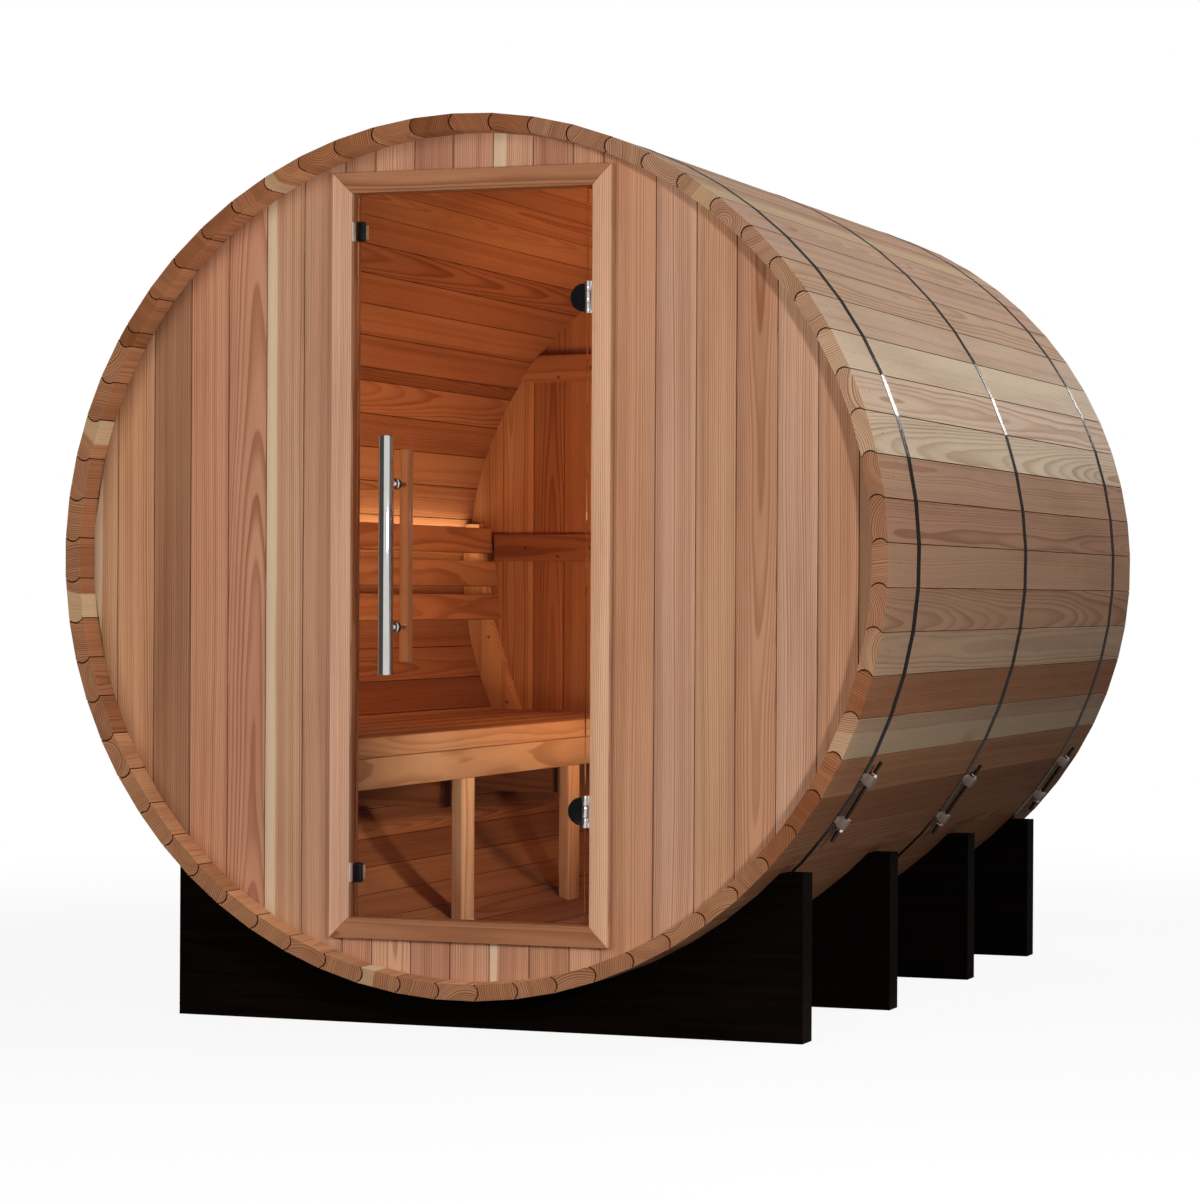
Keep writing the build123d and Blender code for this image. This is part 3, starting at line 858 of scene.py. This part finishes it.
# Handles: studs to either side of the middle, with collars on the glass
stud_spacing = 0.15
stud_radius = 0.006
collar_radius = 0.012
collar_ease = 0.0015
stud_overlap = 0.004
inner_bar_seed = (4.2, 0.11, 0.02)
inner_bar_tone = (202, 136, 94)


def add_studs(boards, x, y, middle, profile):
    for z in (middle - stud_spacing, middle + stud_spacing):
        lathe(boards, (x, y, z), profile, stud_axes)


def make_handles():
    low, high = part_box("outer_handle")
    radius = (high[0] - low[0]) / 2
    x = (low[0] + high[0]) / 2
    middle = (low[2] + high[2]) / 2
    bar_y = low[1] + radius
    boards = Boards()
    bar = rounded_bar(high[2] - low[2], radius, 0.0025)
    lathe(boards, (x, bar_y, middle), bar, upright_axes, turns=64)
    reach = glass_low[1] - bar_y
    stud = [(stud_overlap, stud_radius), (reach - 0.0062, stud_radius),
            (reach - 0.0058, collar_radius - collar_ease), (reach - 0.005, collar_radius),
            (reach, collar_radius)]
    add_studs(boards, x, bar_y, middle, stud)
    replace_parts(boards.piece("outer_pull", ("chrome",), "door", 40, "chrome"), "outer_handle")

    low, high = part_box("inner_handle_bar")
    bar_y = (low[1] + high[1]) / 2
    boards = Boards()
    bar = rounded_bar(high[2] - low[2], (high[0] - low[0]) / 2, 0.004)
    lathe(boards, (x, bar_y, (low[2] + high[2]) / 2), bar, upright_axes, 0, 48, inner_bar_seed,
          linear(*inner_bar_tone))
    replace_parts(boards.piece("inner_pull", ("inner",), "door", 40, "inner_wood"), "inner_handle_bar")

    boards = Boards()
    reach = bar_y - glass_high[1] - stud_overlap
    stud = [(0.0, collar_radius), (0.004, collar_radius), (0.005, collar_radius - collar_ease),
            (0.0053, stud_radius), (reach, stud_radius)]
    add_studs(boards, x, glass_high[1], middle, stud)
    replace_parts(boards.piece("inner_studs", ("chrome",), "door", 40, "chrome"), "inner_handle_studs")


def dress_plain(node, name, palette, body, bevel, slot, chooser=lambda middle: 0):
    """Metal piece in a node's place, with eased edges and a material for each face by its middle."""
    boards = Boards()
    for island in solids(node):
        verts, faces = eased(island, bevel)
        middles = [sum((Vector(verts[i]) for i in f), Vector()) / len(f) for f in faces]
        boards.add_plain(verts, faces, [chooser(middle) for middle in middles])
    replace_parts(boards.piece(name, palette, body, 30, slot), node)


def make_door_metal():
    edge = glass_high[0] + 0.0005
    dress_plain("hinge_clamps", "glass_clamps", ("black", "chrome"), "door", 0.0008, "black_metal",
                lambda middle: 1 if middle.x > edge else 0)
    dress_plain("hinge_leaves", "hinge_plates", ("chrome",), "barrel", 0.0005, "chrome")
    dress_plain("catch_blocks", "catch_bodies", ("black",), "door", 0.003, "black_metal")
    dress_plain("catch_backplates", "catch_plates", ("satin",), "door", 0.0012, "chrome")
    dress_plain("catch_strikes", "strike_plates", ("satin",), "barrel", 0.0006, "chrome")


# Tensioners, as in the frame: footed blocks on the band, a threaded rod and its nuts
band_thickness = 0.0012
rod_above_band = 0.015
rod_length = 0.196
rod_radius = 0.004
thread_depth = 0.0003
thread_steps = 98
block_offset = 0.052
block_size = (0.018, 0.025, 0.023)
foot_size = (0.0082, 0.0248, 0.0148)
foot_drop = 0.0125
nut_offset = 0.0115
nut_length = 0.007
nut_ease = 0.0008
nut_corner = 0.007 / math.cos(math.pi / 6)
nut_end = nut_corner * 0.93
tensioner_palette = ("cast", "band", "chrome")


def make_tensioners():
    rod = math.sqrt((barrel_radius + band_thickness + rod_above_band) ** 2 - block_offset ** 2)
    thread = [(rod_length * (i / thread_steps - 0.5), rod_radius - thread_depth * (i % 2))
              for i in range(thread_steps + 1)]
    nut = [(0.0, nut_end), (nut_ease, nut_corner), (nut_length - nut_ease, nut_corner),
           (nut_length, nut_end)]
    for name in ("front", "middle", "back"):
        low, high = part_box(f"tensioner_{name}")
        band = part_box(f"band_{name}")
        rise = (low[2] + high[2]) / 2 - centre_height
        angle = math.acos(max(-1, min(1, rise / rod)))
        out, tangent = outwards(angle), clockwise(angle)
        middle = on_axis((band[0][1] + band[1][1]) / 2) + out * rod
        boards = Boards()
        lathe(boards, middle, thread, (tangent, out, inwards), 1, 16)
        for side in (-1, 1):
            place = middle + tangent * (side * block_offset)
            add_box(boards, place, (out, inwards, tangent), block_size, 0.0012)
            add_box(boards, place - out * foot_drop, (out, inwards, tangent), foot_size, 0.0008)
            away = tangent * side
            lathe(boards, place + away * nut_offset, nut, (away, out, away.cross(out)), 2, 6)
        piece = boards.piece(f"band_tightener_{name}", tensioner_palette, "barrel", 30, "band_steel")
        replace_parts(piece, f"tensioner_{name}")


def add_box(boards, centre, axes, size, bevel):
    """Box on three given axes with eased edges."""
    a, b, c = (axis * length / 2 for axis, length in zip(axes, size))
    verts = [tuple(centre + a * i + b * j + c * k) for i in (-1, 1) for j in (-1, 1) for k in (-1, 1)]
    faces = [(0, 1, 3, 2), (4, 6, 7, 5), (0, 4, 5, 1), (2, 3, 7, 6), (0, 2, 6, 4), (1, 5, 7, 3)]
    verts, faces = eased((verts, faces), bevel)
    boards.add_plain(verts, faces, [0] * len(faces))


# Nails: the shape of a head, and how far it strays round the barrel, in degrees, and along it
nail_head = [(-0.002, 0.0022), (0.0001, 0.0022), (0.0002, 0.0018)]
nail_wander = 0.35
nail_scatter = 0.006


def make_nails():
    """Nail heads in the staves over the two end walls."""
    rng = random.Random(61)
    boards = Boards()
    for i in range(stave_count):
        middle = first_joint_deg + (i + 0.5) * stave_pitch_deg
        for y in ((wall_front + wall_back) / 2, (rear_wall_front + rear_wall_back) / 2):
            angle = math.radians(middle + rng.uniform(-nail_wander, nail_wander))
            out = outwards(angle)
            face = barrel_radius * math.cos(half_pitch) / math.cos(angle - math.radians(middle))
            place = on_axis(y + rng.uniform(-nail_scatter, nail_scatter)) + out * face
            lathe(boards, place, nail_head, (out, inwards, out.cross(inwards)), turns=10)
    boards.piece("nail_heads", ("dark",), "barrel", 40, "band_steel")


# Screws in the battens and in the rear support of the backrest
batten_height = 0.072
screw_pitch = 0.0928
screw_shift = 0.39
screw_drop = 0.024
screw_margin = 0.06
screw_radius = 0.0042
support_screws = ((-0.8039, 0.795), (-0.7507, 0.6204))
support_depth = 0.038


def screw_head(boards, place):
    """Countersunk screw head with a small recess, seen from the door."""
    out = -inwards
    side = out.orthogonal().normalized()
    profile = [(-0.001, screw_radius), (0.0003, screw_radius), (0.0005, screw_radius * 0.9),
               (0.0005, screw_radius * 0.4), (-0.0008, screw_radius * 0.36)]
    lathe(boards, place, profile, (out, side, out.cross(side)), turns=20)


def make_screws():
    """Screws that hold the battens and the backrest's rear support to the back wall."""
    boards = Boards()
    low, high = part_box("back_wall_battens")
    for middle in (low[2] + batten_height / 2, high[2] - batten_height / 2):
        for k in range(-8, 9):
            x = screw_pitch * (k + screw_shift)
            z = middle - (screw_drop if k % 2 else 0.0)
            if abs(x) < ring_height(z - centre_height) - screw_margin:
                screw_head(boards, (x, low[1], z))
    for x, z in support_screws:
        screw_head(boards, (x, rear_wall_front - support_depth, z))
    boards.piece("batten_screws", ("dark",), "barrel", 40, "chrome")


def paint_nodes():
    """Looks of the frame's own parts that stay in view."""
    looks = {"door_glass": ("glass", 0.0008), "light_strip": ("glow", 0.0)}
    looks.update({f"band_{name}": ("band", 0.0) for name in ("front", "middle", "back")})
    looks.update({f"cradle_{number}": ("cradle", 0.003) for number in range(1, 5)})
    for node, (key, bevel) in looks.items():
        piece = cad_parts[node]
        piece.data.materials.clear()
        piece.data.materials.append(materials[key])
        if bevel:
            edge = piece.modifiers.new("eased edges", "BEVEL")
            edge.width = bevel
            edge.segments = 2
            edge.limit_method = "ANGLE"
            edge.angle_limit = math.radians(40)


# Studio

def studio_light(tree, direction):
    """Whether the studio is seen, and how bright: white, but dark in mirrors except behind and right."""
    across, ahead, _ = split(tree, direction)
    behind = ramp(tree, ahead, 0.05, 0.3, 0.08, 0.3)
    window = times(tree, ramp(tree, across, -0.25, -0.1), ramp(tree, ahead, -0.3, -0.15, 1.0, 0.0))
    mirrored = calc(tree, "MAXIMUM", behind, times(tree, window, 0.9))
    path = put(tree, "ShaderNodeLightPath").outputs
    glossy = path["Is Glossy Ray"]
    level = put(tree, "ShaderNodeMix", {0: glossy, 2: 1.0, 3: mirrored}).outputs[0]
    shiny = calc(tree, "MAXIMUM", glossy, path["Is Transmission Ray"])
    return calc(tree, "MAXIMUM", path["Is Camera Ray"], shiny), level


def stage_material():
    """White floor that fades to plain white away from the object and keeps its shadow."""
    material, tree, _, output = new_material("white floor")
    place = object_coords(tree)
    grit = noise(tree, place, 3.0, 0.5, 4.0)
    shade = mix(tree, grit, (0.07, 0.07, 0.07, 1), (0.08, 0.08, 0.08, 1))
    matte = put(tree, "ShaderNodeBsdfDiffuse", {"Color": shade})
    bright = put(tree, "ShaderNodeBsdfDiffuse", {"Color": (0.9, 0.9, 0.9, 1)})
    seen, level = studio_light(tree, vector_calc(tree, "NORMALIZE", place))
    white = put(tree, "ShaderNodeEmission", {"Color": (1, 1, 1, 1), "Strength": level})
    keep = ramp(tree, vector_length(tree, place), 1.8, 5.0, 0.1, 0.0)
    plain = put(tree, "ShaderNodeMixShader", {0: keep, 1: white.outputs[0], 2: bright.outputs[0]})
    both = put(tree, "ShaderNodeMixShader", {0: seen, 1: matte.outputs[0], 2: plain.outputs[0]})
    tree.links.new(both.outputs[0], output.inputs[0])
    return material


def make_floor():
    mesh = bpy.data.meshes.new("studio_floor")
    half = 30.0
    corners = [(-half, -half, 0), (half, -half, 0), (half, half, 0), (-half, half, 0)]
    mesh.from_pydata(corners, [], [(0, 1, 2, 3)])
    mesh.materials.append(stage_material())
    floor = in_scene("studio_floor", mesh)


def make_world():
    world = bpy.data.worlds.new("studio")
    world.use_nodes = True
    tree = world.node_tree
    tree.nodes.clear()
    seen, level = studio_light(tree, put(tree, "ShaderNodeTexCoord").outputs["Generated"])
    dim = put(tree, "ShaderNodeBackground", {"Color": (1, 1, 1, 1), "Strength": 0.06})
    white = put(tree, "ShaderNodeBackground", {"Color": (1, 1, 1, 1), "Strength": level})
    both = put(tree, "ShaderNodeMixShader", {0: seen, 1: dim.outputs[0], 2: white.outputs[0]})
    tree.links.new(both.outputs[0], put(tree, "ShaderNodeOutputWorld").inputs[0])
    bpy.context.scene.world = world


def area_lamp(name, place, target, size, power, colour=(1, 1, 1), size_y=None, hidden_from=()):
    """Lamp that the camera doesn't see, and that is hidden from the kinds of ray that are named."""
    data = bpy.data.lights.new(name, "AREA")
    data.shape = "RECTANGLE"
    data.size = size
    data.size_y = size_y or size
    data.energy = power
    data.color = colour
    lamp = in_scene(name, data)
    lamp.location = place
    lamp.rotation_euler = (Vector(target) - Vector(place)).to_track_quat("-Z", "Y").to_euler()
    lamp.visible_camera = False
    lamp.visible_transmission = False
    for kind in hidden_from:
        setattr(lamp, f"visible_{kind}", False)
    return lamp


def make_lamps():
    area_lamp("key", (2.77, -3.9, 1.27), (0.2, -1.1, 1.0), 0.3, 70)
    area_lamp("fill", (-2.0, -6.0, 1.8), (0.0, -1.0, 0.95), 4.0, 220, hidden_from=("glossy",))
    area_lamp("side_softbox", (3.0, 0.6, 4.8), (0.5, 0.1, 1.2), 2.4, 125, (0.98, 0.99, 1.0))
    area_lamp("rim", (2.1, 6.8, 3.0), (0.7, 0.0, 1.3), 0.5, 55, hidden_from=("diffuse",))
    area_lamp("back_fill", (-4.2, 4.6, 1.0), (-0.3, 0.4, 1.0), 2.5, 160, hidden_from=("glossy",))
    area_lamp("room_warm", (0.45, 0.25, 0.8), (-0.15, 0.3, 1.5), 0.4, 12.5, (1.0, 0.62, 0.34),
              hidden_from=("glossy",))
    low_lamp = area_lamp("room_low", (0.6, -0.86, 0.47), (-0.5, 0.1, 0.4), 0.12, 2.2, (1.0, 0.86, 0.73),
                         hidden_from=("glossy",))
    low_lamp.data.spread = math.radians(100)
    clear = 0.012
    low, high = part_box("light_strip")
    place = ((low[0] + high[0]) / 2 - clear, 0.0, high[2] + clear)
    target = (place[0] - 0.25, 0.0, place[2] + 0.4)
    area_lamp("strip_glow", place, target, 2.0, 1.75, (0.96, 1.0, 0.76), 0.02, ("glossy",))
    place = (place[0], 0.0, low[2] - clear)
    target = (place[0] - 0.2, 0.0, place[2] - 0.4)
    area_lamp("strip_spill", place, target, 2.0, 0.5, (1.0, 0.85, 0.5), 0.02, ("glossy",))


def make_camera():
    """The photograph's viewpoint; its focal length is in pixels."""
    picture = (1200, 1202)
    focal = 3615.795
    sensor = 36.0
    stand = (2.84152, -8.04295, 0.90858)
    yaw, pitch, roll = -0.35214, -0.00153, 0.00527
    ahead = Vector((math.sin(yaw) * math.cos(pitch), math.cos(yaw) * math.cos(pitch), math.sin(pitch)))
    right = Vector((math.cos(yaw), -math.sin(yaw), 0))
    up = right.cross(ahead)
    turned_right = right * math.cos(roll) + up * math.sin(roll)
    turned_up = up * math.cos(roll) - right * math.sin(roll)
    data = bpy.data.cameras.new("camera")
    data.sensor_width = sensor
    data.lens = focal * sensor / max(picture)
    data.clip_end = 200
    camera = in_scene("camera", data)
    turn = Matrix((turned_right, turned_up, -ahead)).transposed()
    camera.matrix_world = Matrix.Translation(stand) @ turn.to_4x4()
    bpy.context.scene.camera = camera


make_staves()
make_walls()
make_joinery()
make_bench_and_backrest()
make_handles()
make_door_metal()
make_tensioners()
make_nails()
make_screws()
paint_nodes()
make_floor()
make_world()
make_lamps()
make_camera()
bpy.context.scene.view_settings.view_transform = "Standard"
